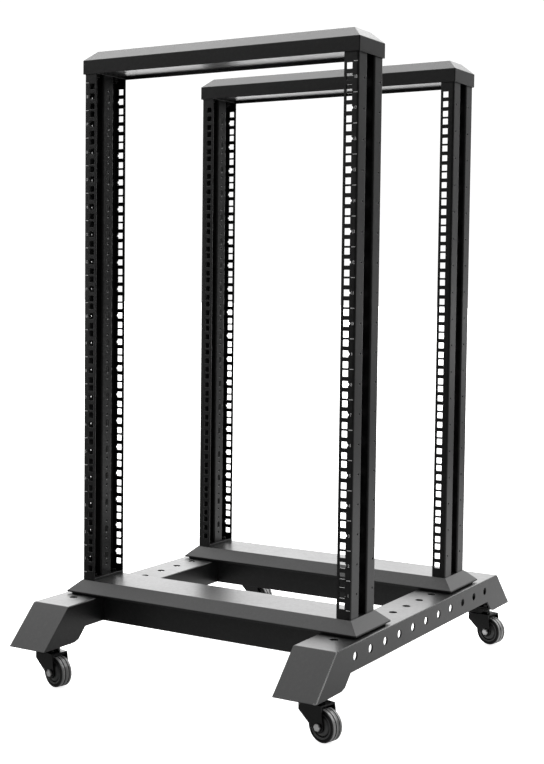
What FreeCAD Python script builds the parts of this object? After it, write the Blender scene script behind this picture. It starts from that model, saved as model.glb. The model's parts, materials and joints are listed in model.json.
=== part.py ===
import FreeCAD, Part
import math
import os
import Sketcher

# Open four-post 19-inch equipment rack on four swivel casters.
#
# Frame: X to the right, Y to the rear, Z up, in millimetres. The origin is on the floor, at the
# middle of the footprint. Every size below is a cell of the Sizes sheet, and every sub-part is
# bound to those cells.

VEC = FreeCAD.Vector

SIZES = [
    # rack holes, after the 19-inch standard
    ("rack_units", 18),
    ("unit_height", 44.45),
    ("rack_hole", 9.5),
    ("rack_hole_step", 15.875),
    ("rack_row_span", 465.1),
    ("rack_notch_radius", 2.0),
    # posts
    ("post_row_inset", 14.95),
    ("post_depth", 80),
    ("post_flange", 23.5),
    ("post_sheet", 2),
    ("post_bend", 1),
    ("post_end_margin", 20),
    ("groove_width", 24),
    ("groove_depth", 16),
    ("side_hole_dia", 3.6),
    ("side_hole_front", 21.5),
    ("side_hole_back", 30.5),
    ("slot_length", 13),
    ("slot_width", 7.5),
    ("slot_hole_dia", 4.5),
    ("slot_hole_reach", 14),
    # end plates inside the posts and their screws
    ("end_plate", 4),
    ("end_gap", 0.5),
    ("screw_reach", 26),
    ("screw_inset", 12),
    ("screw_dia", 6),
    ("screw_length", 14),
    ("screw_head_span", 10),
    ("screw_head", 4),
    ("screw_nut", 5),
    ("hole_gap", 0.3),
    ("thread_gap", 0.1),
    # top caps and the plates that close them
    ("cap_overhang", 2.25),
    ("top_sheet", 1.5),
    ("top_skirt", 22),
    ("top_bevel_rise", 15.7),
    ("top_bevel_inset", 17),
    ("top_plate_sheet", 2),
    ("top_plate_recess", 5),
    ("cap_edge_radius", 1.2),
    # base caps, plates, beams and risers
    ("base_margin", 0.75),
    ("base_sheet", 2),
    ("base_rim", 2),
    ("base_bevel_rise", 17),
    ("base_bevel_inset", 18),
    ("base_lip", 12),
    ("base_plate_sheet", 3),
    ("base_plate_inset", 6),
    ("beam_depth", 84),
    ("beam_sheet", 2.5),
    ("riser_sheet", 2),
    ("riser_width", 20),
    ("riser_depth", 76),
    # rails and feet
    ("rail_inset", 8.5),
    ("rail_width", 70),
    ("rail_height", 40),
    ("rail_sheet", 2.5),
    ("rail_bend", 2),
    ("rail_hole_dia", 13),
    ("rail_hole_pitch", 50),
    ("rail_hole_count", 11),
    ("frame_first_hole", 1),
    ("rail_hole_drop", 18.7),
    ("rail_end_margin", 57.5),
    ("foot_height", 60.5),
    ("foot_length", 76),
    ("heel_length", 10.5),
    ("heel_rise", 3),
    ("foot_lip", 2),
    ("floor_plate_sheet", 2),
    ("floor_plate_inset", 8),
    ("floor_plate_length", 73),
    # rail bolts
    ("rail_bolt_dia", 12),
    ("rail_bolt_length", 19),
    ("rail_bolt_head_span", 18),
    ("rail_bolt_head", 7.5),
    ("rail_bolt_nut", 10.8),
    # casters
    ("caster_inset", 53),
    ("caster_heading", -14),
    ("caster_trail", 26),
    ("caster_plate_side", 58),
    ("caster_plate_sheet", 2),
    ("caster_bolt_span", 44),
    ("caster_screw_length", 10),
    ("cup_radius", 19),
    ("cup_sheet", 2),
    ("cup_gap", 1),
    ("ball_dia", 3.7),
    ("ball_gap", 0.15),
    ("ball_circle_radius", 13.5),
    ("ball_count", 18),
    ("pin_radius", 5),
    ("pin_head_radius", 8),
    ("pin_head", 2.5),
    ("pin_tail_radius", 7.5),
    ("pin_tail", 3),
    ("running_gap", 0.05),
    ("swivel_gap", 0.3),
    ("crown_radius", 20),
    ("crown_clearance", 4),
    ("swivel_height", 12.7),
    ("fork_sheet", 2.3),
    ("fork_inside", 26),
    ("fork_front_reach", 12),
    ("fork_front_drop", 13),
    ("fork_back_reach", 30),
    ("lobe_radius", 9),
    ("wheel_radius", 24),
    ("tyre_width", 20),
    ("tyre_inner_radius", 18.5),
    ("tyre_shoulder", 2),
    ("tread_groove_depth", 1.3),
    ("tread_groove_width", 1.8),
    ("tread_groove_offset", 3.6),
    ("bond_gap", 0.05),
    ("core_width", 23),
    ("core_web", 5),
    ("core_boss_radius", 7),
    ("core_dome_radius", 14.5),
    ("core_dome_edge", 14),
    ("core_rim", 2.5),
    ("core_rim_width", 19),
    ("sleeve_radius", 4.6),
    ("axle_head", 3.6),
    ("axle_overhang", 1),
]

doc = FreeCAD.newDocument("EquipmentRack")
sheet = doc.addObject("Spreadsheet::Sheet", "Sizes")
for row, (alias, size) in enumerate(SIZES, start=1):
    sheet.set(f"A{row}", alias)
    sheet.set(f"B{row}", str(size))
    sheet.setAlias(f"B{row}", alias)
doc.recompute()

SUB_PARTS = []


# ---------------------------------------------------------------- expressions

def cell(alias):
    """The sheet cell of one size, as used in an expression."""
    return f"Sizes.{alias}"


def value(expression):
    """The present number of an expression of the sheet's cells."""
    result = sheet.evalExpression(str(expression))
    return float(getattr(result, "Value", result))


def total(*terms):
    """The sum of several expressions."""
    return "(" + " + ".join(f"({term})" for term in terms) + ")"


def less(first, *terms):
    """The first expression less all the others."""
    return "(" + " - ".join(f"({term})" for term in (first,) + terms) + ")"


def times(*factors):
    """The product of several expressions."""
    return "(" + " * ".join(f"({factor})" for factor in factors) + ")"


def half(expression):
    return times(expression, 0.5)


# heights, from the floor up
CROWN_UNDER = total(times(2, cell("wheel_radius")), cell("crown_clearance"))
CROWN_TOP = total(CROWN_UNDER, cell("fork_sheet"))
CASTER_TOP = total(CROWN_TOP, cell("swivel_height"))
FOOT_BOTTOM = less(CASTER_TOP, cell("foot_lip"))
RAIL_TOP = total(FOOT_BOTTOM, cell("foot_height"))
RAIL_BOTTOM = less(RAIL_TOP, cell("rail_height"))
RAIL_HOLE_LEVEL = less(RAIL_TOP, cell("rail_hole_drop"))
BASE_PLATE_TOP = total(RAIL_TOP, cell("base_plate_sheet"))
BASE_CAP_TOP = total(BASE_PLATE_TOP, cell("base_rim"), cell("base_bevel_rise"))
BASE_CAP_CEILING = less(BASE_CAP_TOP, cell("base_sheet"))
FIRST_UNIT = less(total(BASE_CAP_TOP, cell("post_end_margin")),
                  half(less(cell("unit_height"), times(2, cell("rack_hole_step")))))
UNITS_TALL = times(cell("rack_units"), cell("unit_height"))
TOP_CAP_BOTTOM = total(FIRST_UNIT, UNITS_TALL, cell("post_end_margin"),
                       times(-0.5, less(cell("unit_height"), times(2, cell("rack_hole_step")))))
TOP_PLATE_BOTTOM = total(TOP_CAP_BOTTOM, cell("top_plate_recess"))
TOP_PLATE_TOP = total(TOP_PLATE_BOTTOM, cell("top_plate_sheet"))
TOP_SKIRT_TOP = total(TOP_CAP_BOTTOM, cell("top_skirt"))

# places along X and Y
POST_HALF_SPAN = total(half(cell("rack_row_span")), cell("post_row_inset"))
POST_INNER = less(POST_HALF_SPAN, cell("post_flange"))
GROOVE_FLOOR = less(POST_HALF_SPAN, cell("groove_depth"))
RAIL_CENTRE = less(POST_HALF_SPAN, cell("rail_inset"))
RAIL_INNER = less(RAIL_CENTRE, half(cell("rail_width")))
RAIL_ROW = times(less(cell("rail_hole_count"), 1), cell("rail_hole_pitch"))
FRAME_OFFSET = less(half(RAIL_ROW), times(total(cell("frame_first_hole"), 0.5),
                                          cell("rail_hole_pitch")))
RAIL_HALF_FLAT = total(half(RAIL_ROW), cell("rail_end_margin"))
FOOT_TIP = total(RAIL_HALF_FLAT, cell("foot_height"))
CASTER_OFFSET = less(FOOT_TIP, cell("caster_inset"))
SCREW_X = less(POST_HALF_SPAN, cell("screw_inset"))

SIDES = {"left": -1, "right": 1}
ENDS = {"front": -1, "rear": 1}
CORNERS = [(end, side) for end in ENDS for side in SIDES]


# ------------------------------------------------------------ building helpers

def bind(item, **expressions):
    """Bind properties of an object to expressions, with __ standing for a dot."""
    for name, expression in expressions.items():
        item.setExpression(name.replace("__", "."), str(expression))


def place(item, x=0, y=0, z=0):
    bind(item, Placement__Base__x=x, Placement__Base__y=y, Placement__Base__z=z)


def sub_part(item, label):
    """Name a finished sub-part: its label is its file's name."""
    item.Label = label
    SUB_PARTS.append(item)
    return item


def new_body(name):
    return doc.addObject("PartDesign::Body", name)


def origin_feature(body, role):
    return next(item for item in body.Origin.OriginFeatures if item.Role == role)


def new_sketch(body, plane, offset=0):
    """An empty sketch on a plane of the body's origin, moved along the plane's normal."""
    sketch = body.newObject("Sketcher::SketchObject", body.Name + "_sketch")
    sketch.AttachmentSupport = [(origin_feature(body, plane), "")]
    sketch.MapMode = "FlatFace"
    bind(sketch, AttachmentOffset__Base__z=offset)
    return sketch


def drive(sketch, kind, geometry, point, expression):
    """Fix one coordinate of a sketch point to an expression."""
    index = sketch.addConstraint(
        Sketcher.Constraint(kind, -1, 1, geometry, point, value(expression)))
    sketch.setExpression(f"Constraints[{index}]", str(expression))


def add_polygon(sketch, points):
    """A closed outline whose every corner is driven by two expressions."""
    corners = [VEC(value(x), value(y), 0) for x, y in points]
    first = sketch.GeometryCount
    count = len(points)
    for index in range(count):
        line = Part.LineSegment(corners[index], corners[(index + 1) % count])
        sketch.addGeometry(line, False)
    for index, (x, y) in enumerate(points):
        following = first + (index + 1) % count
        sketch.addConstraint(
            Sketcher.Constraint("Coincident", first + index, 2, following, 1))
        drive(sketch, "DistanceX", first + index, 1, x)
        drive(sketch, "DistanceY", first + index, 1, y)


def add_rectangle(sketch, low_x, low_y, high_x, high_y):
    add_polygon(sketch, [(low_x, low_y), (high_x, low_y), (high_x, high_y), (low_x, high_y)])


def add_circle(sketch, x, y, radius):
    circle = Part.Circle(VEC(value(x), value(y), 0), VEC(0, 0, 1), value(radius))
    geometry = sketch.addGeometry(circle, False)
    drive(sketch, "DistanceX", geometry, 3, x)
    drive(sketch, "DistanceY", geometry, 3, y)
    index = sketch.addConstraint(Sketcher.Constraint("Radius", geometry, value(radius)))
    sketch.setExpression(f"Constraints[{index}]", str(radius))


def add_slot(sketch, x, y, length, width):
    """An upright slot with round ends, about the point x, y."""
    radius = half(width)
    reach = half(less(length, width))
    top, bottom = total(y, reach), less(y, reach)
    centre_x, radius_now = value(x), value(radius)
    upper = Part.Circle(VEC(centre_x, value(top), 0), VEC(0, 0, 1), radius_now)
    lower = Part.Circle(VEC(centre_x, value(bottom), 0), VEC(0, 0, 1), radius_now)
    corners = [VEC(centre_x + side * radius_now, value(level), 0)
               for side, level in ((1, bottom), (1, top), (-1, top), (-1, bottom))]
    right = sketch.addGeometry(Part.LineSegment(corners[0], corners[1]), False)
    cap = sketch.addGeometry(Part.ArcOfCircle(upper, 0, math.pi), False)
    left = sketch.addGeometry(Part.LineSegment(corners[2], corners[3]), False)
    foot = sketch.addGeometry(Part.ArcOfCircle(lower, math.pi, 2 * math.pi), False)
    for first, point, second, other in ((right, 2, cap, 1), (cap, 2, left, 1),
                                        (left, 2, foot, 1), (foot, 2, right, 1)):
        sketch.addConstraint(Sketcher.Constraint("Tangent", first, point, second, other))
    drive(sketch, "DistanceX", cap, 3, x)
    drive(sketch, "DistanceY", cap, 3, top)
    drive(sketch, "DistanceX", foot, 3, x)
    drive(sketch, "DistanceY", foot, 3, bottom)
    index = sketch.addConstraint(Sketcher.Constraint("Radius", cap, radius_now))
    sketch.setExpression(f"Constraints[{index}]", str(radius))


def add_pad(body, sketch, length, symmetric=False):
    pad = body.newObject("PartDesign::Pad", body.Name + "_pad")
    pad.Profile = sketch
    if symmetric:
        pad.SideType = "Symmetric"
    bind(pad, Length=length)
    return pad


def add_pocket(body, sketch, length):
    """A cut to both sides of its sketch, length wide in all."""
    pocket = body.newObject("PartDesign::Pocket", body.Name + "_pocket")
    pocket.Profile = sketch
    pocket.SideType = "Symmetric"
    bind(pocket, Length=length)
    return pocket


def add_row(body, originals, axis, step, count):
    """Repeat features along an axis of the body."""
    row = body.newObject("PartDesign::LinearPattern", body.Name + "_row")
    row.Originals = originals
    row.Direction = (origin_feature(body, axis), [""])
    row.Mode = "Spacing"
    bind(row, Offset=step, Occurrences=count)
    body.Tip = row
    return row


def add_turned(body, points, offset=0):
    """A solid of revolution about Z from an outline of (radius, height) corners."""
    sketch = new_sketch(body, "XZ_Plane", offset)
    add_polygon(sketch, points)
    turned = body.newObject("PartDesign::Revolution", body.Name + "_turned")
    turned.Profile = sketch
    turned.ReferenceAxis = (origin_feature(body, "Z_Axis"), [""])
    turned.Angle = 360
    return turned


def round_edges(body, base, radius, chosen):
    """Fillet those edges of the body's last feature that the chosen test accepts."""
    doc.recompute()
    names = [f"Edge{index}" for index, edge in enumerate(base.Shape.Edges, start=1)
             if chosen(edge)]
    fillet = body.newObject("PartDesign::Fillet", body.Name + "_fillet")
    fillet.Base = (base, names)
    bind(fillet, Radius=radius)
    body.Tip = fillet
    return fillet


def copies(label, master, places, turned_over=False):
    """One node of identical fasteners: a link to the master at each place."""
    links = []
    for index, (x, y, z) in enumerate(places):
        link = doc.addObject("App::Link", f"{label}_{index}")
        link.LinkedObject = master
        link.LinkTransform = False
        if turned_over:
            link.Placement = FreeCAD.Placement(VEC(), FreeCAD.Rotation(VEC(1, 0, 0), 180))
        place(link, x, y, z)
        links.append(link)
    group = doc.addObject("Part::Compound", label)
    group.Links = links
    return sub_part(group, label)


def group(label, items):
    """One node that holds several separate solids."""
    compound = doc.addObject("Part::Compound", label)
    compound.Links = items
    return sub_part(compound, label)


def add_hexagon(sketch, x, y, span):
    """A hexagon about a point, span across its flats."""
    reach = f"({span}) / 2 / cos(30 deg)"
    points = []
    for corner in range(6):
        angle = f"{60 * corner} deg"
        points.append((total(x, times(reach, f"cos({angle})")),
                       total(y, times(reach, f"sin({angle})"))))
    add_polygon(sketch, points)


def make_bolt(name, diameter, length, head_span, head):
    """A hexagon bolt with its head above Z = 0 and its shank below."""
    body = new_body(name)
    shank = new_sketch(body, "XY_Plane", times(-1, length))
    add_circle(shank, 0, 0, half(diameter))
    add_pad(body, shank, length)
    top = new_sketch(body, "XY_Plane")
    add_hexagon(top, 0, 0, head_span)
    add_pad(body, top, head)
    return body


def make_nut(name, diameter, span, height):
    """A hexagon nut with its upper face at Z = 0."""
    body = new_body(name)
    outline = new_sketch(body, "XY_Plane", times(-1, height))
    add_hexagon(outline, 0, 0, span)
    add_circle(outline, 0, 0, total(half(diameter), cell("thread_gap")))
    add_pad(body, outline, height)
    return body


def frame_y(end, outward):
    """The Y of a place in the front or rear frame, measured outward from the frame's middle."""
    return times(ENDS[end], total(FRAME_OFFSET, outward))


def screw_places(end, side):
    """The two screw centres at each end of a post."""
    return [(times(SIDES[side], SCREW_X), frame_y(end, times(way, cell("screw_reach"))))
            for way in (-1, 1)]


def rail_bolt_places(end, side):
    return [(times(SIDES[side], RAIL_CENTRE),
             frame_y(end, times(way, 0.5, cell("rail_hole_pitch")))) for way in (-1, 1)]


def drill(body, places, radius, level, thickness):
    """Round holes through a level sheet."""
    sketch = new_sketch(body, "XY_Plane", level)
    for x, y in places:
        add_circle(sketch, x, y, radius)
    return add_pocket(body, sketch, times(3, thickness))


SCREW_HOLE = total(half(cell("screw_dia")), cell("hole_gap"))
RAIL_BOLT_HOLE = total(half(cell("rail_bolt_dia")), cell("hole_gap"))


# ------------------------------------------------------------------- uprights

def post_outline(end, side):
    """Corners of the folded post: flange, strip, groove, strip, flange, and back inside."""
    far = half(cell("post_depth"))
    near = half(cell("groove_width"))
    sheet_in = cell("post_sheet")
    outer = POST_HALF_SPAN
    outside = [(POST_INNER, far), (outer, far), (outer, near), (GROOVE_FLOOR, near)]
    inner = less(outer, sheet_in)
    floor = less(GROOVE_FLOOR, sheet_in)
    inside = [(POST_INNER, less(far, sheet_in)), (inner, less(far, sheet_in)),
              (inner, total(near, sheet_in)), (floor, total(near, sheet_in))]
    outline = outside + [(x, times(-1, u)) for x, u in reversed(outside)]
    outline += [(x, times(-1, u)) for x, u in inside] + list(reversed(inside))
    return [(times(SIDES[side], x), frame_y(end, u)) for x, u in outline]


def stands_at(edge, corners):
    """Whether an edge is upright and stands on one of the corners."""
    start, finish = edge.Vertexes[0].Point, edge.Vertexes[-1].Point
    if abs(start.x - finish.x) > 0.01 or abs(start.y - finish.y) > 0.01:
        return False
    return any(abs(start.x - x) < 0.01 and abs(start.y - y) < 0.01 for x, y in corners)


def make_post(end, side):
    body = new_body(f"post_{end}_{side}")
    outline = post_outline(end, side)
    sketch = new_sketch(body, "XY_Plane", BASE_CAP_TOP)
    add_polygon(sketch, outline)
    shell = add_pad(body, sketch, less(TOP_PLATE_BOTTOM, BASE_CAP_TOP))

    corners = [(value(x), value(y)) for x, y in outline]
    wide_bends = [corners[index] for index in (1, 2, 5, 6, 11, 12)]
    tight_bends = [corners[index] for index in (3, 4, 9, 10, 13, 14)]
    rounded = round_edges(body, shell, total(cell("post_bend"), cell("post_sheet")),
                          lambda edge: stands_at(edge, wide_bends))
    round_edges(body, rounded, cell("post_bend"), lambda edge: stands_at(edge, tight_bends))

    unit_middle = total(FIRST_UNIT, half(cell("unit_height")))
    flange_middle = half(less(cell("post_depth"), cell("post_sheet")))
    through = times(2, cell("post_sheet"))
    row_x = times(SIDES[side], half(cell("rack_row_span")))
    holes = []
    for flange in (1, -1):
        level = times(-1, frame_y(end, times(flange, flange_middle)))
        squares = new_sketch(body, "XZ_Plane", level)
        reach = half(cell("rack_hole"))
        for step in (-1, 0, 1):
            z = total(unit_middle, times(step, cell("rack_hole_step")))
            add_rectangle(squares, less(row_x, reach), less(z, reach),
                          total(row_x, reach), total(z, reach))
        holes.append(add_pocket(body, squares, through))
        if flange == 1 or end == "front":
            notch = new_sketch(body, "XZ_Plane", level)
            add_circle(notch, total(row_x, times(SIDES[side], reach)), unit_middle,
                       cell("rack_notch_radius"))
            holes.append(add_pocket(body, notch, through))

    strip = less(POST_HALF_SPAN, half(cell("post_sheet")))
    marks = new_sketch(body, "YZ_Plane", times(SIDES[side], strip))
    for outward in (cell("side_hole_front"), times(-1, cell("side_hole_back"))):
        add_circle(marks, frame_y(end, outward), unit_middle, half(cell("side_hole_dia")))
    holes.append(add_pocket(body, marks, through))

    floor = less(GROOVE_FLOOR, half(cell("post_sheet")))
    slots = new_sketch(body, "YZ_Plane", times(SIDES[side], floor))
    add_slot(slots, frame_y(end, 0), unit_middle, cell("slot_length"), cell("slot_width"))
    for way in (-1, 1):
        add_circle(slots, frame_y(end, 0), total(unit_middle, times(way, cell("slot_hole_reach"))),
                   half(cell("slot_hole_dia")))
    holes.append(add_pocket(body, slots, through))
    add_row(body, holes, "Z_Axis", cell("unit_height"), cell("rack_units"))
    return sub_part(body, body.Name)


def make_end_plate(name, end, side, bottom):
    """A plate inside the end of a post, which its screws pull against."""
    body = new_body(f"{name}_{end}_{side}")
    gap = cell("end_gap")
    far = less(half(cell("post_depth")), cell("post_sheet"), gap)
    near = total(half(cell("groove_width")), cell("post_sheet"), gap)
    outer = less(POST_HALF_SPAN, cell("post_sheet"), gap)
    floor = less(GROOVE_FLOOR, cell("post_sheet"), gap)
    quarter = [(total(POST_INNER, gap), far), (outer, far), (outer, near), (floor, near)]
    outline = quarter + [(x, times(-1, u)) for x, u in reversed(quarter)]
    sketch = new_sketch(body, "XY_Plane", bottom)
    add_polygon(sketch, [(times(SIDES[side], x), frame_y(end, u)) for x, u in outline])
    add_pad(body, sketch, cell("end_plate"))
    drill(body, screw_places(end, side), SCREW_HOLE, bottom, cell("end_plate"))
    return body


# ----------------------------------------------------------------------- caps

def add_loft(body, kind, lower, upper):
    loft = body.newObject(f"PartDesign::{kind}Loft", body.Name + "_loft")
    loft.Profile = lower
    loft.Sections = [upper]
    loft.Ruled = True
    return loft


def level_rectangle(body, level, half_x, middle_y, half_y):
    sketch = new_sketch(body, "XY_Plane", level)
    add_rectangle(sketch, times(-1, half_x), less(middle_y, half_y),
                  half_x, total(middle_y, half_y))
    return sketch


def outer_cap_edge(edge, bottom):
    """Whether an edge is one of a cap's outer edges above its bottom rim."""
    return min(vertex.Point.z for vertex in edge.Vertexes) > bottom or (
        abs(edge.Vertexes[0].Point.z - edge.Vertexes[-1].Point.z) > 1)


def add_bevelled_cap(body, middle, bottom, skirt, bevel, wall, half_x, half_y):
    """A block with upright sides and a bevelled roof, hollow under the bevels."""
    rise, inset = bevel
    eaves = total(bottom, skirt)
    top = total(eaves, rise)
    add_pad(body, level_rectangle(body, bottom, half_x, middle, half_y), skirt)
    roof = add_loft(body, "Additive", level_rectangle(body, eaves, half_x, middle, half_y),
                    level_rectangle(body, top, less(half_x, inset), middle,
                                    less(half_y, inset)))
    low = value(bottom) + 1
    round_edges(body, roof, cell("cap_edge_radius"), lambda edge: outer_cap_edge(edge, low))

    # a bevel's wall, measured level, and the outside's run from the ceiling's level to the top
    slope_gap = times(wall, f"sqrt(1 + ({inset} / {rise}) ^ 2)")
    ceiling_gap = total(inset, slope_gap, times(-1, wall, inset, f"1 / {rise}"))
    add_loft(body, "Subtractive",
             level_rectangle(body, eaves, less(half_x, slope_gap), middle,
                             less(half_y, slope_gap)),
             level_rectangle(body, less(top, wall), less(half_x, ceiling_gap), middle,
                             less(half_y, ceiling_gap)))


def make_top_cap(end):
    body = new_body(f"top_cap_{end}")
    wall = cell("top_sheet")
    half_x = total(POST_HALF_SPAN, cell("cap_overhang"))
    half_y = total(half(cell("post_depth")), cell("cap_overhang"))
    bevel = (cell("top_bevel_rise"), cell("top_bevel_inset"))
    middle = frame_y(end, 0)
    add_bevelled_cap(body, middle, TOP_CAP_BOTTOM, cell("top_skirt"), bevel, wall,
                     half_x, half_y)
    cavity = level_rectangle(body, TOP_CAP_BOTTOM, less(half_x, wall), middle,
                             less(half_y, wall))
    add_pocket(body, cavity, times(2, cell("top_skirt")))
    return sub_part(body, body.Name)


def make_top_plate(end):
    """The flat plate that closes a top cap and lies on the two posts."""
    body = new_body(f"top_plate_{end}")
    half_x = total(POST_HALF_SPAN, cell("cap_overhang"), times(-1, cell("top_sheet")))
    half_y = total(half(cell("post_depth")), cell("cap_overhang"), times(-1, cell("top_sheet")))
    sketch = level_rectangle(body, TOP_PLATE_BOTTOM, half_x, frame_y(end, 0), half_y)
    add_pad(body, sketch, cell("top_plate_sheet"))
    places = screw_places(end, "left") + screw_places(end, "right")
    drill(body, places, SCREW_HOLE, TOP_PLATE_BOTTOM, cell("top_plate_sheet"))
    return sub_part(body, body.Name)


BASE_TOP_X = total(POST_HALF_SPAN, cell("base_margin"))
BASE_TOP_Y = total(half(cell("post_depth")), cell("base_margin"))
BASE_RIM_X = total(BASE_TOP_X, cell("base_bevel_inset"))
BASE_RIM_Y = total(BASE_TOP_Y, cell("base_bevel_inset"))


def make_base_cap(end):
    body = new_body(f"base_cap_{end}")
    middle = frame_y(end, 0)
    bevel = (cell("base_bevel_rise"), cell("base_bevel_inset"))
    add_bevelled_cap(body, middle, BASE_PLATE_TOP, cell("base_rim"), bevel, cell("base_sheet"),
                     BASE_RIM_X, BASE_RIM_Y)
    lip = cell("base_lip")
    opening = level_rectangle(body, BASE_PLATE_TOP, less(BASE_RIM_X, lip), middle,
                              less(BASE_RIM_Y, lip))
    add_pocket(body, opening, times(3, cell("base_rim")))
    places = screw_places(end, "left") + screw_places(end, "right")
    drill(body, places, SCREW_HOLE, BASE_CAP_CEILING, cell("base_sheet"))
    return sub_part(body, body.Name)


# ----------------------------------------------------------------------- base

def make_base_plate(end):
    """The plate between the rails and a base cap."""
    body = new_body(f"base_plate_{end}")
    inset = cell("base_plate_inset")
    sketch = level_rectangle(body, RAIL_TOP, less(BASE_RIM_X, inset), frame_y(end, 0),
                             less(BASE_RIM_Y, inset))
    add_pad(body, sketch, cell("base_plate_sheet"))
    places = rail_bolt_places(end, "left") + rail_bolt_places(end, "right")
    drill(body, places, RAIL_BOLT_HOLE, RAIL_TOP, cell("base_plate_sheet"))
    return sub_part(body, body.Name)


def channel_outline(end, half_depth, top, bottom, wall):
    """An upside-down channel seen along X."""
    inner = less(half_depth, wall)
    corners = [(half_depth, bottom), (half_depth, top), (times(-1, half_depth), top),
               (times(-1, half_depth), bottom), (times(-1, inner), bottom),
               (times(-1, inner), less(top, wall)), (inner, less(top, wall)), (inner, bottom)]
    return [(frame_y(end, u), z) for u, z in corners]


def make_base_beam(end):
    """The cross channel between the rails, under the base plate."""
    body = new_body(f"base_beam_{end}")
    sketch = new_sketch(body, "YZ_Plane")
    add_polygon(sketch, channel_outline(end, half(cell("beam_depth")), RAIL_TOP, RAIL_BOTTOM,
                                        cell("beam_sheet")))
    add_pad(body, sketch, times(2, RAIL_INNER), symmetric=True)
    return sub_part(body, body.Name)


def make_riser(end, side):
    """A bridge inside the base cap that carries a post."""
    body = new_body(f"riser_{end}_{side}")
    sketch = new_sketch(body, "YZ_Plane", times(SIDES[side], SCREW_X))
    add_polygon(sketch, channel_outline(end, half(cell("riser_depth")), BASE_CAP_CEILING,
                                        BASE_PLATE_TOP, cell("riser_sheet")))
    add_pad(body, sketch, cell("riser_width"), symmetric=True)
    drill(body, screw_places(end, side), SCREW_HOLE, less(BASE_CAP_CEILING, cell("riser_sheet")),
          cell("riser_sheet"))
    return body


def rail_side_outline():
    """Half of the rail's side outline, from the middle to the rear foot and back."""
    heel_tip = less(FOOT_TIP, cell("foot_length"))
    heel_top = less(heel_tip, cell("heel_length"))
    heel_level = total(FOOT_BOTTOM, cell("heel_rise"))
    return [(RAIL_HALF_FLAT, RAIL_TOP), (FOOT_TIP, FOOT_BOTTOM), (heel_tip, FOOT_BOTTOM),
            (heel_top, heel_level), (less(heel_top, less(RAIL_BOTTOM, heel_level)), RAIL_BOTTOM)]


def make_rail(side):
    """A floor rail: an upside-down channel whose ends slope down into feet."""
    body = new_body(f"base_rail_{side}")
    centre = times(SIDES[side], RAIL_CENTRE)
    wall = cell("rail_sheet")
    rear = rail_side_outline()
    front = [(times(-1, y), z) for y, z in reversed(rear)]
    outline = new_sketch(body, "YZ_Plane", centre)
    add_polygon(outline, rear + front)
    solid = add_pad(body, outline, cell("rail_width"), symmetric=True)
    top = value(RAIL_TOP)
    round_edges(body, solid, cell("rail_bend"),
                lambda edge: all(abs(vertex.Point.z - top) < 0.01 for vertex in edge.Vertexes))

    # the end plates slope at 45 degrees, so a wall measures its sheet times sqrt(2) level
    inner_flat = less(RAIL_HALF_FLAT, times(wall, "sqrt(2) - 1"))
    inner_foot = less(FOOT_TIP, times(wall, "sqrt(2)"))
    hollow = new_sketch(body, "YZ_Plane", centre)
    below = less(FOOT_BOTTOM, wall)
    add_polygon(hollow, [(inner_flat, less(RAIL_TOP, wall)), (total(inner_foot, wall), below),
                         (times(-1, total(inner_foot, wall)), below),
                         (times(-1, inner_flat), less(RAIL_TOP, wall))])
    add_pocket(body, hollow, less(cell("rail_width"), times(2, wall)))

    first = half(times(-1, RAIL_ROW))
    radius = half(cell("rail_hole_dia"))
    top_hole = drill(body, [(centre, first)], radius, less(RAIL_TOP, half(wall)), wall)
    outer_wall = times(SIDES[side], half(less(cell("rail_width"), wall)))
    side_sketch = new_sketch(body, "YZ_Plane", total(centre, outer_wall))
    add_circle(side_sketch, first, RAIL_HOLE_LEVEL, radius)
    side_hole = add_pocket(body, side_sketch, times(2, wall))
    add_row(body, [top_hole, side_hole], "Y_Axis", cell("rail_hole_pitch"),
            cell("rail_hole_count"))
    return sub_part(body, body.Name)


def caster_places(end, side):
    """The four screw centres of a caster's mounting plate."""
    reach = half(cell("caster_bolt_span"))
    x, y = caster_centre(end, side)
    return [(total(x, times(way_x, reach)), total(y, times(way_y, reach)))
            for way_x in (-1, 1) for way_y in (-1, 1)]


def caster_centre(end, side):
    return times(SIDES[side], RAIL_CENTRE), times(ENDS[end], CASTER_OFFSET)


def make_floor_plate(end, side):
    """The level plate inside a foot, which carries the caster."""
    body = new_body(f"floor_plate_{end}_{side}")
    sketch = new_sketch(body, "XY_Plane", CASTER_TOP)
    reach = less(half(cell("rail_width")), cell("rail_sheet"))
    centre_x = caster_centre(end, side)[0]
    outer = less(FOOT_TIP, cell("floor_plate_inset"))
    inner = less(outer, cell("floor_plate_length"))
    add_rectangle(sketch, less(centre_x, reach), times(ENDS[end], inner),
                  total(centre_x, reach), times(ENDS[end], outer))
    add_pad(body, sketch, cell("floor_plate_sheet"))
    drill(body, caster_places(end, side), SCREW_HOLE, CASTER_TOP,
          cell("floor_plate_sheet"))
    return body


# --------------------------------------------------------------------- casters

TRACK = total(CROWN_TOP, cell("ball_dia"), times(2, cell("ball_gap")))
PLATE_BOTTOM = less(CASTER_TOP, cell("caster_plate_sheet"))
FORK_HALF = total(half(cell("fork_inside")), cell("fork_sheet"))
PIN_HOLE = total(cell("pin_radius"), cell("running_gap"))
DOME_STEP = 15  # degrees between the corners of the wheel cover's curve


def place_caster(body, end, side):
    """Put a caster's piece under its foot, turned to the caster's heading."""
    body.Placement = FreeCAD.Placement(VEC(), FreeCAD.Rotation(VEC(0, 0, 1), 1))
    x, y = caster_centre(end, side)
    place(body, x, y, 0)
    bind(body, Placement__Rotation__Angle=f"{cell('caster_heading')} * 1 deg")
    return sub_part(body, body.Name)


def wheel_sketch(body):
    """A sketch across the wheel: its X runs along the axle, its Y out from the axle."""
    sketch = new_sketch(body, "YZ_Plane", cell("caster_trail"))
    bind(sketch, AttachmentOffset__Base__y=cell("wheel_radius"))
    return sketch


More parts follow.
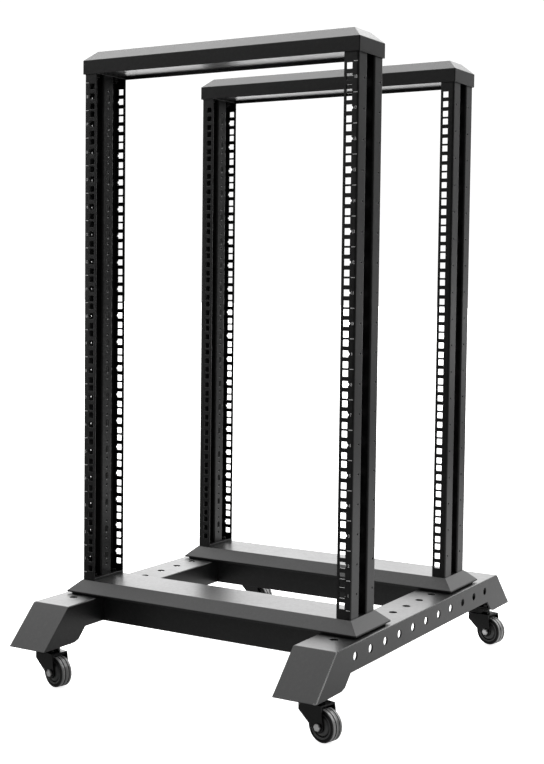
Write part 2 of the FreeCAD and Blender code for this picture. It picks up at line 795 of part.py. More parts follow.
def turn_about_axle(body, points):
    sketch = wheel_sketch(body)
    add_polygon(sketch, points)
    turned = body.newObject("PartDesign::Revolution", body.Name + "_turned")
    turned.Profile = sketch
    turned.ReferenceAxis = (sketch, ["H_Axis"])
    turned.Angle = 360
    return turned


def mirrored_outline(points):
    """Close an outline over the wheel's middle plane."""
    return points + [(times(-1, across), radius) for across, radius in reversed(points)]


def make_caster_plate(end, side):
    """The mounting plate with its pressed ball cup."""
    body = new_body(f"caster_plate_{end}_{side}")
    wall = cell("cup_sheet")
    outer = cell("cup_radius")
    inner = less(outer, wall)
    square = new_sketch(body, "XY_Plane", PLATE_BOTTOM)
    reach = half(cell("caster_plate_side"))
    add_rectangle(square, times(-1, reach), times(-1, reach), reach, reach)
    add_circle(square, 0, 0, inner)
    add_pad(body, square, cell("caster_plate_sheet"))
    skirt = total(CROWN_TOP, cell("cup_gap"))
    add_turned(body, [(PIN_HOLE, TRACK), (inner, TRACK), (inner, skirt), (outer, skirt),
                      (outer, CASTER_TOP), (inner, CASTER_TOP),
                      (inner, total(TRACK, wall)), (PIN_HOLE, total(TRACK, wall))])
    spread = half(cell("caster_bolt_span"))
    places = [(times(way_x, spread), times(way_y, spread))
              for way_x in (-1, 1) for way_y in (-1, 1)]
    drill(body, places, SCREW_HOLE, PLATE_BOTTOM, cell("caster_plate_sheet"))
    x, y = caster_centre(end, side)
    place(body, x, y, 0)
    return sub_part(body, body.Name)


def make_kingpin(end, side):
    """The rivet that the fork turns on."""
    body = new_body(f"kingpin_{end}_{side}")
    radius = cell("pin_radius")
    head_bottom = total(TRACK, cell("cup_sheet"))
    tail_top = less(CROWN_UNDER, cell("swivel_gap"))
    tail_bottom = less(tail_top, cell("pin_tail"))
    head_top = total(head_bottom, cell("pin_head"))
    add_turned(body, [(0, tail_bottom), (cell("pin_tail_radius"), tail_bottom),
                      (cell("pin_tail_radius"), tail_top), (radius, tail_top),
                      (radius, head_bottom), (cell("pin_head_radius"), head_bottom),
                      (cell("pin_head_radius"), head_top), (0, head_top)])
    x, y = caster_centre(end, side)
    place(body, x, y, 0)
    return sub_part(body, body.Name)


def make_ball(end, side, index):
    """One ball of a caster's swivel race."""
    ball = doc.addObject("Part::Sphere", f"ball_{end}_{side}_{index}")
    angle = f"({index} * 360 deg / {cell('ball_count')})"
    x, y = caster_centre(end, side)
    bind(ball, Radius=half(cell("ball_dia")))
    place(ball, total(x, times(cell("ball_circle_radius"), f"cos({angle})")),
          total(y, times(cell("ball_circle_radius"), f"sin({angle})")),
          half(total(CROWN_TOP, TRACK)))
    return ball


def add_leg_outline(sketch):
    """A fork leg seen from the side: straight edges that run into a round lobe at the axle."""
    front = times(-1, cell("fork_front_reach"))
    back = cell("fork_back_reach")
    front_low = less(CROWN_TOP, cell("fork_front_drop"))
    axle = (cell("caster_trail"), cell("wheel_radius"))
    radius = value(cell("lobe_radius"))
    centre = VEC(value(axle[0]), value(axle[1]), 0)

    def touch(point, way):
        """Where a line from the point touches the lobe."""
        reach = point.sub(centre)
        swing = way * math.acos(radius / reach.Length)
        angle = math.atan2(reach.y, reach.x) + swing
        return centre.add(VEC(radius * math.cos(angle), radius * math.sin(angle), 0)), angle

    tops = [VEC(value(x), value(z), 0) for x, z in
            ((back, CROWN_TOP), (front, CROWN_TOP), (front, front_low))]
    front_touch, front_angle = touch(tops[2], 1)
    back_touch, back_angle = touch(tops[0], -1)
    sweep_end = back_angle if back_angle > front_angle else back_angle + 2 * math.pi
    lines = [Part.LineSegment(tops[0], tops[1]), Part.LineSegment(tops[1], tops[2]),
             Part.LineSegment(tops[2], front_touch),
             Part.ArcOfCircle(Part.Circle(centre, VEC(0, 0, 1), radius), front_angle, sweep_end),
             Part.LineSegment(back_touch, tops[0])]
    for line in lines:
        sketch.addGeometry(line, False)
    for first, point, second, other in ((0, 2, 1, 1), (1, 2, 2, 1), (4, 2, 0, 1)):
        sketch.addConstraint(Sketcher.Constraint("Coincident", first, point, second, other))
    sketch.addConstraint(Sketcher.Constraint("Tangent", 2, 2, 3, 1))
    sketch.addConstraint(Sketcher.Constraint("Tangent", 3, 2, 4, 1))
    drive(sketch, "DistanceX", 3, 3, axle[0])
    drive(sketch, "DistanceY", 3, 3, axle[1])
    index = sketch.addConstraint(Sketcher.Constraint("Radius", 3, radius))
    sketch.setExpression(f"Constraints[{index}]", cell("lobe_radius"))
    for geometry, (x, z) in enumerate(((back, CROWN_TOP), (front, CROWN_TOP),
                                       (front, front_low))):
        drive(sketch, "DistanceX", geometry, 1, x)
        drive(sketch, "DistanceY", geometry, 1, z)


def make_fork(end, side):
    """The stamped fork: a round crown with two legs that hold the axle."""
    body = new_body(f"caster_fork_{end}_{side}")
    legs = new_sketch(body, "XZ_Plane")
    add_leg_outline(legs)
    add_pad(body, legs, times(2, FORK_HALF), symmetric=True)
    inside = new_sketch(body, "XZ_Plane")
    far = total(cell("caster_trail"), cell("crown_radius"), cell("lobe_radius"))
    add_rectangle(inside, times(-1, far), 0, far, CROWN_UNDER)
    add_pocket(body, inside, cell("fork_inside"))
    crown = new_sketch(body, "XY_Plane", CROWN_UNDER)
    add_circle(crown, 0, 0, cell("crown_radius"))
    add_pad(body, crown, cell("fork_sheet"))
    drill(body, [(0, 0)], PIN_HOLE, CROWN_UNDER, cell("fork_sheet"))
    axle = new_sketch(body, "XZ_Plane")
    add_circle(axle, cell("caster_trail"), cell("wheel_radius"),
               total(half(cell("screw_dia")), cell("thread_gap")))
    add_pocket(body, axle, times(3, FORK_HALF))
    return place_caster(body, end, side)


def make_axle(end, side):
    """The axle bolt, with its head on the caster's near side."""
    body = new_body(f"axle_bolt_{end}_{side}")
    shank = new_sketch(body, "XZ_Plane", times(-1, total(FORK_HALF, cell("screw_nut"),
                                                        cell("axle_overhang"))))
    add_circle(shank, cell("caster_trail"), cell("wheel_radius"), half(cell("screw_dia")))
    add_pad(body, shank, total(times(2, FORK_HALF), cell("screw_nut"), cell("axle_overhang")))
    head = new_sketch(body, "XZ_Plane", FORK_HALF)
    add_hexagon(head, cell("caster_trail"), cell("wheel_radius"), cell("screw_head_span"))
    add_pad(body, head, cell("axle_head"))
    return place_caster(body, end, side)


def make_axle_nut(end, side):
    body = new_body(f"axle_nut_{end}_{side}")
    sketch = new_sketch(body, "XZ_Plane", times(-1, total(FORK_HALF, cell("screw_nut"))))
    centre = (cell("caster_trail"), cell("wheel_radius"))
    add_hexagon(sketch, centre[0], centre[1], cell("screw_head_span"))
    add_circle(sketch, centre[0], centre[1], total(half(cell("screw_dia")), cell("thread_gap")))
    add_pad(body, sketch, cell("screw_nut"))
    return place_caster(body, end, side)


def make_sleeve(end, side):
    """The tube on the axle that the wheel runs on, clamped between the legs."""
    body = new_body(f"axle_sleeve_{end}_{side}")
    bore = total(half(cell("screw_dia")), cell("thread_gap"))
    reach = half(cell("fork_inside"))
    turn_about_axle(body, mirrored_outline([(reach, bore), (reach, cell("sleeve_radius"))]))
    return place_caster(body, end, side)


def make_core(end, side):
    """The wheel's core: boss, domed covers, thin web and rim."""
    body = new_body(f"wheel_core_{end}_{side}")
    bore = total(cell("sleeve_radius"), cell("running_gap"))
    rim = less(cell("tyre_inner_radius"), cell("bond_gap"))
    rim_inside = less(rim, cell("core_rim"))
    boss, edge, web, rim_half = (half(cell(width)) for width in (
        "core_width", "core_dome_edge", "core_web", "core_rim_width"))
    boss_radius, dome_radius = cell("core_boss_radius"), cell("core_dome_radius")
    bulge, spread = less(boss, edge), less(dome_radius, boss_radius)
    dome = [(total(edge, times(bulge, f"cos({angle} deg)")),
             total(boss_radius, times(spread, f"sin({angle} deg)")))
            for angle in range(0, 91, DOME_STEP)]
    turn_about_axle(body, mirrored_outline(
        [(boss, bore)] + dome
        + [(web, dome_radius), (web, rim_inside), (rim_half, rim_inside), (rim_half, rim)]))
    return place_caster(body, end, side)


def make_tyre(end, side):
    """The tyre, with chamfered shoulders and two grooves round its tread."""
    body = new_body(f"tyre_{end}_{side}")
    edge = half(cell("tyre_width"))
    tread = cell("wheel_radius")
    shoulder = cell("tyre_shoulder")
    groove_far = total(cell("tread_groove_offset"), half(cell("tread_groove_width")))
    groove_near = less(cell("tread_groove_offset"), half(cell("tread_groove_width")))
    groove_floor = less(tread, cell("tread_groove_depth"))
    turn_about_axle(body, mirrored_outline([
        (edge, cell("tyre_inner_radius")), (edge, less(tread, shoulder)),
        (less(edge, half(shoulder)), less(tread, times(0.3, shoulder))),
        (less(edge, shoulder), tread), (groove_far, tread), (groove_far, groove_floor),
        (groove_near, groove_floor), (groove_near, tread)]))
    return place_caster(body, end, side)


# -------------------------------------------------------------- the whole rack

for end, side in CORNERS:
    make_post(end, side)
for end in ENDS:
    make_top_cap(end)
    make_top_plate(end)
    make_base_cap(end)
    make_base_plate(end)
    make_base_beam(end)
for side in SIDES:
    make_rail(side)

HEAD_PLATE_BOTTOM = less(TOP_PLATE_BOTTOM, cell("end_plate"))
group("post_foot_plates",
      [make_end_plate("foot_plate", end, side, BASE_CAP_TOP) for end, side in CORNERS])
group("post_head_plates",
      [make_end_plate("head_plate", end, side, HEAD_PLATE_BOTTOM) for end, side in CORNERS])
group("post_risers", [make_riser(end, side) for end, side in CORNERS])
group("foot_floor_plates", [make_floor_plate(end, side) for end, side in CORNERS])

for end, side in CORNERS:
    make_caster_plate(end, side)
    make_kingpin(end, side)
    make_fork(end, side)
    make_axle(end, side)
    make_axle_nut(end, side)
    make_sleeve(end, side)
    make_core(end, side)
    make_tyre(end, side)
group("swivel_balls", [make_ball(end, side, index) for end, side in CORNERS
                       for index in range(int(value(cell("ball_count"))))])

small_bolt = make_bolt("small_bolt", cell("screw_dia"), cell("screw_length"),
                       cell("screw_head_span"), cell("screw_head"))
caster_bolt = make_bolt("caster_bolt", cell("screw_dia"), cell("caster_screw_length"),
                        cell("screw_head_span"), cell("screw_head"))
rail_bolt = make_bolt("rail_bolt", cell("rail_bolt_dia"), cell("rail_bolt_length"),
                      cell("rail_bolt_head_span"), cell("rail_bolt_head"))
small_nut = make_nut("small_nut", cell("screw_dia"), cell("screw_head_span"), cell("screw_nut"))
rail_nut = make_nut("rail_nut", cell("rail_bolt_dia"), cell("rail_bolt_head_span"),
                    cell("rail_bolt_nut"))


def at_levels(find_places, *levels):
    return [(x, y, level) for level in levels for end, side in CORNERS
            for x, y in find_places(end, side)]


copies("frame_screws", small_bolt,
       at_levels(screw_places, total(BASE_CAP_TOP, cell("end_plate")), TOP_PLATE_TOP))
copies("frame_nuts", small_nut,
       at_levels(screw_places, less(BASE_CAP_CEILING, cell("riser_sheet")), HEAD_PLATE_BOTTOM))
copies("rail_bolts", rail_bolt, at_levels(rail_bolt_places, BASE_PLATE_TOP))
copies("rail_nuts", rail_nut, at_levels(rail_bolt_places, less(RAIL_TOP, cell("rail_sheet"))))
copies("caster_screws", caster_bolt, at_levels(caster_places, PLATE_BOTTOM), turned_over=True)
copies("caster_nuts", small_nut,
       at_levels(caster_places, total(CASTER_TOP, cell("floor_plate_sheet"),
                                      cell("screw_nut"))))

doc.recompute()
for item in doc.Objects:
    if "Invalid" in item.State or "Error" in item.State:
        raise RuntimeError(f"{item.Name} failed: {item.State}")
for item in SUB_PARTS:
    if item.Shape.isNull() or not item.Shape.isValid():
        raise RuntimeError(f"{item.Label} has no valid shape")

os.makedirs("parts", exist_ok=True)
for item in SUB_PARTS:
    item.Shape.exportStep(f"parts/{item.Label}.step")
print(len(SUB_PARTS), "sub-parts written")
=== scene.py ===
"""Looks of the open-frame equipment rack: finishes, printed unit marks, studio and camera."""

import json
import math

import bpy
from mathutils import Matrix, Vector


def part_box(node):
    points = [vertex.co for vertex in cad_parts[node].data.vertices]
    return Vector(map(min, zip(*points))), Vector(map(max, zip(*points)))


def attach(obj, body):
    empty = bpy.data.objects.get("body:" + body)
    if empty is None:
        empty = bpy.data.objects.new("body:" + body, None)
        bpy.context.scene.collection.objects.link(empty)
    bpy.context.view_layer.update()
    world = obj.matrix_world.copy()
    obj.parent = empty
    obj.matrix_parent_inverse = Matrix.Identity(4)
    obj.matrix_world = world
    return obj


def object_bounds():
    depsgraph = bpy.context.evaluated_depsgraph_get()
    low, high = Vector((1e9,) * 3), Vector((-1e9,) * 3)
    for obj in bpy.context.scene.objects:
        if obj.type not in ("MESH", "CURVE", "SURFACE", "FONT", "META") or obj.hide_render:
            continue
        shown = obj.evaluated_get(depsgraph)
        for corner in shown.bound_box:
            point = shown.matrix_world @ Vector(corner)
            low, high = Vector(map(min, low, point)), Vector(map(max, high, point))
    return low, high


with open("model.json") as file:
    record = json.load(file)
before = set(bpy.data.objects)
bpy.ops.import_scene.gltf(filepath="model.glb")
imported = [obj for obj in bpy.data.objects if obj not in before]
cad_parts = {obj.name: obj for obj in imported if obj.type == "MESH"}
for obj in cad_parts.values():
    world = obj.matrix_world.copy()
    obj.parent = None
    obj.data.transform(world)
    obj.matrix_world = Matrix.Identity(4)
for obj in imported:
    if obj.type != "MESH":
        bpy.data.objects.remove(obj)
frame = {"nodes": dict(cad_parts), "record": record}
cad_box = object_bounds()

SQUARE = ((-1, -1), (1, -1), (1, 1), (-1, 1))

# Rack standard and print sizes, in metres
UNITS = 18
UNIT = 0.04445
ROW_SPAN = 0.4651
HOLE_SIDE = 0.0095
MARK_GAP = 0.0023
FIGURE_HEIGHT = 0.0046
FIGURE_NARROWING = 0.74
FIGURE_WEIGHT = 0.018
DASH_LENGTH = 0.0065
DASH_HEIGHT = 0.0011
INK_LIFT = 0.00004

# Where a highlight is painted along the rails' folded corners, in metres, and how strongly
CORNER_BAND = 0.006
FOOT_REACH = 0.072
FOLD_RADIUS = 0.0036
FOLD_HIGHLIGHT_PAINT = 0.8

# Camera solved from the rack's own holes, in metres and radians
CAMERA_PLACE = (1.1502, -2.0099, 0.6456)
CAMERA_YAW = -0.5544
CAMERA_PITCH = -0.0566
CAMERA_ROLL = 0.0100
LENS = 65.06
SENSOR = 36.0
SHIFT = (0.0521, -0.0318)
CLIP_RANGE = (0.05, 200.0)

# Room light: each lobe is a direction, where it starts and is full in degrees, its radiance;
# the camera itself sees a plain backdrop
AMBIENT = 0.07
BACKDROP_SEEN = 1.1
LOBES = (
    ((-0.50, 0.85, 0.20), 56, 16, 2.3),
    ((-0.45, 0.37, 0.85), 47, 18, 3.4),
    ((-0.45, -0.62, 0.62), 40, 8, 0.8),
    ((0.50, 0.58, 0.68), 32, 10, 3.0),
    ((0.90, 0.50, 0.10), 60, 10, 0.08),
)

# The floor glows a little; what reflects in the rack is a painted pool of light near it and a
# painted glow far off, over a floor painted dark grey
FLOOR_REACH = 30.0
FLOOR_DROP = 0.0001
FLOOR_GLOW_SEEN = 0.85
FLOOR_GLOW_UNSEEN = 1.0
FLOOR_POOL = (0.7, 0.9, 0.0)
FLOOR_POOL_FULL = 0.9
FLOOR_POOL_END = 2.0
FLOOR_POOL_SHARE = 0.36
FLOOR_FAR_WAY = (-0.85, 0.5)
FLOOR_FAR_START = 0.6
FLOOR_FAR_FULL = 3.0


# ---------------------------------------------------------------- node helpers

BEVEL_SAMPLES = 6


class Nodes:
    """A shader node tree, built from its first node on."""

    def __init__(self, tree):
        self.tree = tree
        self.tree.nodes.clear()

    def add(self, kind, settings=None, **inputs):
        made = self.tree.nodes.new("ShaderNode" + kind)
        for key, value in (settings or {}).items():
            setattr(made, key, value)
        for key, value in inputs.items():
            self.put(made.inputs[key.replace("_", " ")], value)
        return made

    def put(self, socket, value):
        if isinstance(value, bpy.types.NodeSocket):
            self.tree.links.new(value, socket)
        else:
            socket.default_value = value

    def maths(self, operation, first, second=0.0):
        made = self.add("Math", {"operation": operation})
        self.put(made.inputs[0], first)
        self.put(made.inputs[1], second)
        return made.outputs[0]

    def across(self, operation, first, second):
        """The number that a vector operation gives for two vectors, such as their dot product."""
        made = self.add("VectorMath", {"operation": operation})
        self.put(made.inputs[0], first)
        self.put(made.inputs[1], second)
        return made.outputs["Value"]

    def parts(self, vector):
        return self.add("SeparateXYZ", Vector=vector).outputs

    def spread(self, value, low, high, to_low=0.0, to_high=1.0, kind="LINEAR"):
        """The value's place between low and high, carried over to to_low and to_high."""
        made = self.add("MapRange", {"interpolation_type": kind})
        for socket, number in zip(made.inputs, (value, low, high, to_low, to_high)):
            self.put(socket, number)
        return made.outputs["Result"]


class Finish(Nodes):
    """A node material that ends in one Principled shader."""

    def __init__(self, name):
        self.material = bpy.data.materials.new(name)
        self.material.use_nodes = True
        super().__init__(self.material.node_tree)
        self.coordinates = self.add("TexCoord").outputs["Object"]

    def noise(self, scale, detail=2.0, roughness=0.5, vector=None):
        made = self.add(
            "TexNoise",
            Vector=vector or self.coordinates,
            Scale=scale,
            Detail=detail,
            Roughness=roughness,
        )
        return made.outputs["Fac"]

    def mix(self, factor, first, second):
        """From the first colour at factor 0 to the second at 1."""
        made = self.add("Mix", {"data_type": "RGBA"})
        self.put(made.inputs["Factor"], factor)
        for socket, colour in zip(made.inputs[6:8], (first, second)):
            self.put(socket, colour)
        return made.outputs[2]

    def rounded(self, radius):
        """The surface's direction as if its corners were rounded to the radius."""
        return self.add("Bevel", {"samples": BEVEL_SAMPLES}, Radius=radius).outputs["Normal"]

    def edges(self, radius, low, high):
        """1 where the surface bends sharply within the radius, 0 on the flats."""
        flat = self.add("NewGeometry").outputs["Normal"]
        return self.spread(self.across("DOT_PRODUCT", self.rounded(radius), flat), high, low)

    def worn(self, radius, scale, low, high, detail=4.0, sharpest=0.80):
        """Patches along the sharp edges where the surface is rubbed."""
        return self.maths(
            "MULTIPLY",
            self.edges(radius, sharpest, 0.97),
            self.spread(self.noise(scale, detail, 0.7), low, high),
        )

    def bump(self, height, strength, distance, under=None):
        made = self.add("Bump", Height=height, Strength=strength, Distance=distance)
        if under is not None:
            self.put(made.inputs["Normal"], under)
        return made.outputs["Normal"]

    def shade(self, **inputs):
        shader = self.add("BsdfPrincipled", **inputs)
        output = self.add("OutputMaterial")
        self.put(output.inputs["Surface"], shader.outputs["BSDF"])
        return self.material


def grey(value, warmth=0.0):
    return (value * (1 + warmth), value, value * (1 - warmth), 1.0)


# -------------------------------------------------------------------- finishes


def painted_highlight_corners(look):
    """1 along the rails' outer top edges and the outer corners of their feet, where a highlight is
    painted, else 0.
    """
    _low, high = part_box("base_rail_right")
    place = look.parts(look.coordinates)
    aside, along = (look.maths("ABSOLUTE", place[k]) for k in "XY")
    outer = look.maths("GREATER_THAN", aside, high.x - CORNER_BAND)
    top = look.maths("GREATER_THAN", place["Z"], high.z - CORNER_BAND)
    foot = look.maths("GREATER_THAN", along, high.y - FOOT_REACH)
    return look.maths("MULTIPLY", outer, look.maths("MAXIMUM", top, foot))


def powder_coat(name, painted_highlight=0.0):
    """Satin black powder paint: orange-peel skin, mottled tone, faint dust, and, when asked, a
    painted highlight on the rails' folded corners.
    """
    look = Finish(name)
    peel = look.noise(620.0, 2.0, 0.55)
    pores = look.noise(1900.0, 1.0)
    clouds = look.noise(7.0, 4.0, 0.6)
    mottle = look.noise(170.0, 3.0, 0.65)
    tone = look.mix(look.spread(clouds, 0.3, 0.7), grey(0.0045, -0.02), grey(0.008, -0.01))
    tone = look.mix(look.spread(mottle, 0.45, 0.70, 0.0, 0.5), tone, grey(0.018, -0.01))
    tone = look.mix(look.spread(pores, 0.62, 0.75, 0.0, 0.3), tone, grey(0.02))
    up = look.parts(look.add("NewGeometry").outputs["Normal"])["Z"]
    patches = look.spread(look.noise(55.0, 5.0, 0.7), 0.5, 0.8)
    dust = look.maths("MULTIPLY", look.spread(up, 0.5, 1.0), patches)
    tone = look.mix(look.maths("MULTIPLY", dust, 0.07), tone, grey(0.14, 0.03))
    rubbed = look.worn(0.0012, 260.0, 0.52, 0.66)
    tone = look.mix(look.maths("MULTIPLY", rubbed, 0.4), tone, grey(0.09, 0.02))
    # Painted highlight: where the rails' rounded corners face up, they are painted near white to
    # stand in for the overhead light they catch
    if painted_highlight:
        facing_top_light = look.spread(look.parts(look.rounded(FOLD_RADIUS))["Z"], 0.05, 0.35)
        painted_fold_highlight = look.maths("MULTIPLY", look.edges(FOLD_RADIUS, 0.80, 0.98), facing_top_light)
        painted_fold_highlight = look.maths("MULTIPLY", painted_fold_highlight, painted_highlight_corners(look))
        painted_fold_highlight = look.maths("MULTIPLY", painted_fold_highlight, look.spread(look.noise(30.0, 2.0), 0.3, 0.7, 0.5, 1.0))
        tone = look.mix(look.maths("MULTIPLY", painted_fold_highlight, painted_highlight), tone, grey(0.85))
    gloss = look.spread(clouds, 0.3, 0.7, 0.30, 0.35)
    gloss = look.maths("ADD", gloss, look.maths("MULTIPLY", dust, 0.05))
    gloss = look.maths("ADD", gloss, look.spread(mottle, 0.3, 0.7, -0.03, 0.03))
    skin = look.bump(peel, 0.25, 0.00005, look.rounded(0.0011))
    skin = look.bump(pores, 0.25, 0.00002, skin)
    return look.shade(Base_Color=tone, Roughness=gloss, Normal=skin, IOR=1.5)


def gloss_enamel():
    """Glossy black enamel on the caster forks and plates, with fine scuffs."""
    look = Finish("gloss_enamel")
    waves = look.noise(240.0, 3.0)
    clouds = look.noise(40.0, 4.0, 0.6)
    tone = look.mix(look.spread(clouds, 0.3, 0.7), grey(0.0015), grey(0.004))
    rubbed = look.worn(0.0008, 420.0, 0.5, 0.62)
    tone = look.mix(look.maths("MULTIPLY", rubbed, 0.5), tone, grey(0.12, 0.02))
    gloss = look.spread(look.noise(90.0, 5.0, 0.65), 0.3, 0.75, 0.10, 0.22)
    skin = look.bump(waves, 0.3, 0.00008, look.rounded(0.0007))
    return look.shade(Base_Color=tone, Roughness=gloss, Normal=skin, IOR=1.30)


def zinc_plate():
    """Zinc-plated steel: bright, faintly mottled by its crystals, corners softly rounded."""
    look = Finish("zinc_plate")
    crystals = look.add("TexVoronoi", Vector=look.coordinates, Scale=900.0).outputs["Distance"]
    stains = look.noise(160.0, 4.0, 0.6)
    tone = look.mix(look.spread(stains, 0.3, 0.7), grey(0.56, 0.03), grey(0.74, -0.01))
    tone = look.mix(look.spread(crystals, 0.2, 0.8, 0.0, 0.18), tone, grey(0.36, -0.02))
    gloss = look.spread(look.noise(500.0, 3.0), 0.3, 0.7, 0.26, 0.44)
    skin = look.bump(look.noise(1400.0, 2.0), 0.3, 0.00003, look.rounded(0.0035))
    return look.shade(Base_Color=tone, Metallic=1.0, Roughness=gloss, Normal=skin)


def black_steel():
    """Blackened steel of the screws, nuts and kingpins: oily sheen and worn corners."""
    look = Finish("black_steel")
    stains = look.noise(180.0, 4.0, 0.6)
    tone = look.mix(look.spread(stains, 0.3, 0.7), grey(0.012), grey(0.028, 0.02))
    worn = look.worn(0.0007, 700.0, 0.45, 0.6, 3.0)
    tone = look.mix(look.maths("MULTIPLY", worn, 0.4), tone, grey(0.20))
    gloss = look.spread(look.noise(500.0, 3.0), 0.3, 0.7, 0.28, 0.42)
    skin = look.bump(look.noise(1400.0, 2.0), 0.3, 0.00003, look.rounded(0.0006))
    return look.shade(Base_Color=tone, Metallic=0.6, Roughness=gloss, Normal=skin)


def hub_plastic():
    """Moulded dark grey plastic of the wheel centre."""
    look = Finish("hub_plastic")
    grain = look.noise(1500.0, 2.0, 0.6)
    clouds = look.noise(120.0, 3.0)
    tone = look.mix(look.spread(clouds, 0.3, 0.7), grey(0.055), grey(0.085))
    scuffs = look.worn(0.0008, 600.0, 0.45, 0.6, 3.0, 0.82)
    tone = look.mix(look.maths("MULTIPLY", scuffs, 0.5), tone, grey(0.16))
    gloss = look.spread(grain, 0.3, 0.7, 0.15, 0.24)
    skin = look.bump(grain, 0.4, 0.00004, look.rounded(0.0009))
    return look.shade(Base_Color=tone, Roughness=gloss, Normal=skin, IOR=1.49)


def tread_rubber():
    """Polished dark tyre: grey tread with light bands that are painted reflection streaks, black
    sides, small nicks.
    """
    look = Finish("tread_rubber")
    grain = look.noise(1200.0, 3.0, 0.6)
    wear = look.noise(210.0, 5.0, 0.7)
    along_axle = look.across("DOT_PRODUCT", look.coordinates, AXLE_AXIS)
    painted_reflection_rings = look.noise(330.0, 2.0, 0.5, look.add("CombineXYZ", X=along_axle).outputs[0])
    facing = look.across("DOT_PRODUCT", look.add("TexCoord").outputs["Normal"], AXLE_AXIS)
    side = look.spread(look.maths("ABSOLUTE", facing), 0.55, 0.85)
    # Painted reflection: the light bands round the grey tread stand in for the streaks of light its
    # gloss reflects; the grey under them is the tread's own
    tone = look.mix(look.spread(painted_reflection_rings, 0.38, 0.62), grey(0.10), grey(0.52))
    tone = look.mix(look.spread(wear, 0.45, 0.7, 0.0, 0.35), tone, grey(0.11, 0.01))
    tone = look.mix(side, tone, grey(0.008))
    specks = look.spread(look.noise(2600.0, 1.0), 0.66, 0.74, 0.0, 0.3)
    tone = look.mix(specks, tone, grey(0.16, 0.02))
    gloss = look.spread(wear, 0.3, 0.7, 0.16, 0.30)
    nicks = look.bump(grain, 0.5, 0.00005, look.rounded(0.0009))
    nicks = look.bump(look.spread(wear, 0.62, 0.7), 0.3, 0.0001, nicks)
    index = look.spread(side, 0.0, 1.0, 1.56, 1.22)
    return look.shade(Base_Color=tone, Roughness=gloss, Normal=nicks, IOR=index)


def white_ink():
    """White screen print: slightly grainy edge of ink over black paint."""
    look = Finish("white_ink")
    specks = look.spread(look.noise(2300.0, 2.0), 0.60, 0.72, 0.0, 0.55)
    tone = look.mix(look.spread(look.noise(300.0, 3.0), 0.3, 0.7), grey(0.86), grey(0.95))
    tone = look.mix(specks, tone, grey(0.08))
    gloss = look.spread(look.noise(700.0, 2.0), 0.3, 0.7, 0.45, 0.6)
    skin = look.bump(specks, 0.4, 0.00003)
    return look.shade(Base_Color=tone, Roughness=gloss, Normal=skin, IOR=1.5)


record = frame["record"]
spin = next(j for j in record["behaviour"]["joints"] if j["name"] == "spin_front_left")
AXLE_AXIS = spin["axis"]  # every caster is built at the same heading
FINISHES = {
    "powder_black": powder_coat("powder_coat"),
    "caster_black": gloss_enamel(),
    "zinc_steel": zinc_plate(),
    "black_steel": black_steel(),
    "wheel_core": hub_plastic(),
    "tyre_grey": tread_rubber(),
}
HIGHLIGHT_PAINTED_COAT = powder_coat("powder_coat_painted_highlight", FOLD_HIGHLIGHT_PAINT)

for part in record["subparts"]:
    # The base rails take the coat with the painted corner highlight
    folded = part["node"].startswith("base_rail")
    for held in frame["nodes"][part["node"]].material_slots:
        held.material = HIGHLIGHT_PAINTED_COAT if folded else FINISHES[part["material_slot"]]


# ----------------------------------------------------------- printed unit marks


def text_mesh(text, height):
    """The outline of a short text as vertices and faces, centred, in its own XY plane."""
    curve = bpy.data.curves.new("figures", "FONT")
    curve.body = text
    curve.size = 1.0
    curve.align_x = "CENTER"
    curve.resolution_u = 3
    curve.offset = FIGURE_WEIGHT
    holder = bpy.data.objects.new("figures", curve)
    bpy.context.scene.collection.objects.link(holder)
    bpy.context.view_layer.update()
    mesh = bpy.data.meshes.new_from_object(holder)
    tall = max(v.co.y for v in mesh.vertices)
    wide = height * FIGURE_NARROWING
    points = [(v.co.x / tall * wide, (v.co.y / tall - 0.5) * height) for v in mesh.vertices]
    faces = [tuple(p.vertices) for p in mesh.polygons]
    bpy.data.objects.remove(holder)
    bpy.data.meshes.remove(mesh)
    bpy.data.curves.remove(curve)
    return points, faces


def printed_marks(name, post, column, outward):
    """Unit numbers and boundary dashes on one flange: column is +1 or -1 in X, outward in Y."""
    low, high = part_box(post)
    face = high.y if outward > 0 else low.y
    edge = column * (ROW_SPAN / 2 + HOLE_SIDE / 2 + MARK_GAP)
    middle = edge + column * DASH_LENGTH / 2
    points, faces = [], []

    def lay(outline, polygons, x, z):
        start = len(points)
        for across, along in outline:
            points.append((x - outward * across, face + outward * INK_LIFT, z + along))
        faces.extend(tuple(start + i for i in polygon) for polygon in polygons)

    half_long, half_tall = DASH_LENGTH / 2, DASH_HEIGHT / 2
    dash = [(x * half_long, z * half_tall) for x, z in SQUARE]
    for unit in range(UNITS):
        bottom = FIRST_BOUNDARY + unit * UNIT
        outline, polygons = text_mesh(str(unit + 1), FIGURE_HEIGHT)
        lay(outline, polygons, middle, bottom + UNIT / 2)
        lay(dash, [(0, 1, 2, 3)], middle, bottom)
    lay(dash, [(0, 1, 2, 3)], middle, FIRST_BOUNDARY + UNITS * UNIT)
    mesh = bpy.data.meshes.new(name)
    mesh.from_pydata(points, [], faces)
    mesh.update()
    made = bpy.data.objects.new(name, mesh)
    bpy.context.scene.collection.objects.link(made)
    mesh.materials.append(INK)
    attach(made, "rack")


INK = white_ink()
rows = next(m for m in record["mounts"] if m["name"] == "rack_rows_front")
FIRST_BOUNDARY = rows["pos_m"][2] - UNITS * UNIT / 2
for end, outward in (("front", -1), ("rear", 1)):
    for side, column in (("left", -1), ("right", 1)):
        printed_marks(f"unit_marks_{end}_{side}", f"post_{end}_{side}", column, outward)


# ---------------------------------------------------------------- studio, camera


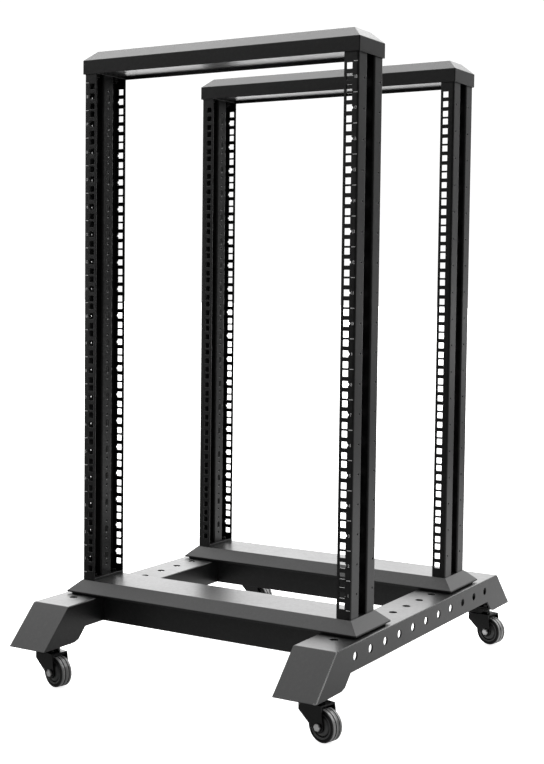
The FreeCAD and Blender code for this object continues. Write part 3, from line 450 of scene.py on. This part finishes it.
def studio_floor():
    """A wide pale sweep under the casters, lit by itself so only faint shadows show; to all rays
    but the camera's it is painted dark grey with a painted pool of light and a painted glow far
    off.
    """
    level = cad_box[0].z - FLOOR_DROP
    corners = [(x * FLOOR_REACH, y * FLOOR_REACH, level) for x, y in SQUARE]
    mesh = bpy.data.meshes.new("floor")
    mesh.from_pydata(corners, [], [(0, 1, 2, 3)])
    made = bpy.data.objects.new("floor", mesh)
    bpy.context.scene.collection.objects.link(made)
    look = Finish("studio_paper")
    seen = look.add("LightPath").outputs["Is Camera Ray"]
    # Painted light: to rays other than the camera's, the floor's colour and glow are a painted pool
    # of light and a painted glow far off, over painted dark grey
    place = look.parts(look.coordinates)
    aside, behind = (look.maths("MULTIPLY", place[k], w) for k, w in zip("XY", FLOOR_FAR_WAY))
    far = look.spread(look.maths("ADD", aside, behind), FLOOR_FAR_START, FLOOR_FAR_FULL)
    distance = look.across("DISTANCE", look.coordinates, FLOOR_POOL)
    pool = look.spread(distance, FLOOR_POOL_FULL, FLOOR_POOL_END, FLOOR_POOL_SHARE, 0.0)
    painted_glow_mask = look.maths("MAXIMUM", far, pool)
    tone = look.mix(look.noise(3.0, 3.0), grey(0.86), grey(0.90))
    painted_unseen_tone = look.mix(painted_glow_mask, grey(0.05), tone)
    glow = look.maths("MULTIPLY", painted_glow_mask, FLOOR_GLOW_UNSEEN)
    mesh.materials.append(
        look.shade(
            Base_Color=look.mix(seen, painted_unseen_tone, tone),
            Roughness=0.9,
            IOR=1.3,
            Emission_Color=grey(1.0),
            Emission_Strength=look.spread(seen, 0.0, 1.0, glow, FLOOR_GLOW_SEEN),
        )
    )


def studio_world():
    """A white room: brightest behind and above the rack, dim on the camera's side."""
    world = bpy.data.worlds.new("studio")
    bpy.context.scene.world = world
    world.use_nodes = True
    look = Nodes(world.node_tree)
    direction = look.add("TexCoord").outputs["Generated"]
    glow = AMBIENT
    for towards, start, full, radiance in LOBES:
        closeness = look.across("DOT_PRODUCT", direction, Vector(towards).normalized())
        bounds = (math.cos(math.radians(angle)) for angle in (start, full))
        glow = look.maths("ADD", look.spread(closeness, *bounds, 0.0, radiance, "SMOOTHSTEP"), glow)
    seen = look.add("LightPath").outputs["Is Camera Ray"]
    strength = look.spread(seen, 0.0, 1.0, glow, BACKDROP_SEEN)
    background = look.add("Background", Color=grey(1.0), Strength=strength)
    look.put(look.add("OutputWorld").inputs["Surface"], background.outputs[0])


def photo_camera():
    """The camera that stands and points as the rack's own holes say."""
    data = bpy.data.cameras.new("camera")
    data.lens, data.sensor_width = LENS, SENSOR
    data.shift_x, data.shift_y = SHIFT
    data.clip_start, data.clip_end = CLIP_RANGE
    made = bpy.data.objects.new("camera", data)
    bpy.context.scene.collection.objects.link(made)
    forward = Vector(
        (
            math.cos(CAMERA_PITCH) * math.sin(CAMERA_YAW),
            math.cos(CAMERA_PITCH) * math.cos(CAMERA_YAW),
            math.sin(CAMERA_PITCH),
        )
    )
    level = Vector((math.cos(CAMERA_YAW), -math.sin(CAMERA_YAW), 0.0))
    upright = level.cross(forward)
    right = math.cos(CAMERA_ROLL) * level + math.sin(CAMERA_ROLL) * upright
    up = math.cos(CAMERA_ROLL) * upright - math.sin(CAMERA_ROLL) * level
    turn = Matrix((right, up, -forward)).transposed()
    made.matrix_world = Matrix.Translation(CAMERA_PLACE) @ turn.to_4x4()
    bpy.context.scene.camera = made


studio_floor()
studio_world()
photo_camera()
bpy.context.scene.view_settings.view_transform = "Standard"
